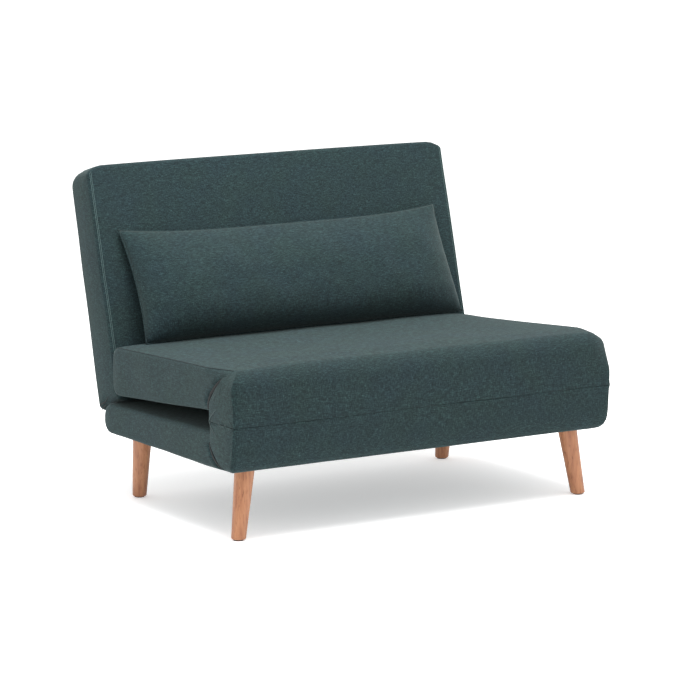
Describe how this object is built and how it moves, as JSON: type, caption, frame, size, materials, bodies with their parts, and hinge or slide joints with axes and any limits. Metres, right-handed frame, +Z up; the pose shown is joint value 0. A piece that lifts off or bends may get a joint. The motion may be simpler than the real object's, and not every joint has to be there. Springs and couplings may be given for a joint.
{
  "type": "futon sofa bed",
  "caption": "Armless two-seat futon sofa bed on round wooden legs; the seat folds forward and the backrest reclines to make a flat bed, with a loose bolster cushion.",
  "frame": {"origin": "middle of the object's footprint at floor level", "axes": "+X across the sofa to a viewer's right, +Y towards the backrest, +Z up"},
  "size_m": [1.2, 0.9054, 0.9103],
  "materials": {
    "woven_upholstery": "woven polyester, dark teal",
    "foam": "polyurethane foam and fibre",
    "lining": "black non-woven lining",
    "slat_wood": "bent birch ply",
    "leg_wood": "oiled rubberwood",
    "black_plastic": "moulded",
    "rubber_feet": "matt",
    "zinc_steel": "zinc plated",
    "black_steel": "black powder coat"
  },
  "bodies": {
    "base": {"base_cover": "woven_upholstery", "base_foam": "foam", "base_frame": "black_steel", "base_slats": "slat_wood", "base_slat_caps": "black_plastic", "dust_cover": "lining", "leg_front_left": "leg_wood", "leg_front_right": "leg_wood", "leg_rear_left": "leg_wood", "leg_rear_right": "leg_wood", "leg_plates": "black_steel", "leg_bolts": "zinc_steel", "foot_glides": "black_plastic", "fold_hinge_lower_leaves": "black_steel", "fold_hinge_pins": "zinc_steel", "ratchet_plate_left": "black_steel", "ratchet_plate_right": "black_steel", "ratchet_pins": "zinc_steel"},
    "seat": {"seat_cover": "woven_upholstery", "seat_foam": "foam", "seat_frame": "black_steel", "seat_slats": "slat_wood", "seat_slat_caps": "black_plastic", "fold_hinge_upper_leaves": "black_steel", "seat_leg_brackets": "black_steel"},
    "seat_legs": {"seat_leg_shaft": "zinc_steel", "seat_leg_left": "black_steel", "seat_leg_right": "black_steel", "seat_leg_feet": "rubber_feet"},
    "backrest": {"back_cover": "woven_upholstery", "back_foam": "foam", "back_rear_pad": "foam", "back_frame": "black_steel", "back_slats": "slat_wood", "back_slat_caps": "black_plastic", "ratchet_arm_left": "black_steel", "ratchet_arm_right": "black_steel", "back_leg_brackets": "black_steel", "back_leg_pins": "zinc_steel"},
    "back_leg": {"back_leg_tube": "black_steel"},
    "cushion": {"cushion_cover": "woven_upholstery", "cushion_filling": "foam"}
  },
  "joints": [
    {"name": "seat_unfold", "type": "hinge", "parent": "base", "child": "seat", "pos_m": [0, -0.44689, 0.3135], "axis": [1, 0, 0], "range_deg": [0, 184.4], "deforming": ["cushion_cover", "cushion_filling"]},
    {"name": "backrest_recline", "type": "hinge", "parent": "base", "child": "backrest", "pos_m": [0, 0.23211, 0.235], "axis": [-1, 0, 0], "range_deg": [0, 74.64]},
    {"name": "seat_legs_swing", "type": "hinge", "parent": "seat", "child": "seat_legs", "pos_m": [0, 0.17552, 0.38449], "axis": [-1, 0, 0], "range_deg": [0, 92]},
    {"name": "back_leg_swing", "type": "hinge", "parent": "backrest", "child": "back_leg", "pos_m": [0, 0.43748, 0.6974], "axis": [1, 0, 0], "range_deg": [0, 90]},
    {"name": "cushion_slide", "type": "slide", "parent": "backrest", "child": "cushion", "axis": [0, -0.2649, -0.9643], "range_m": [0, 0.15]}
  ],
  "couplings": [
    {"joint": "cushion_slide", "follows": "seat_unfold", "m_per_rad": 0.0466}
  ]
}
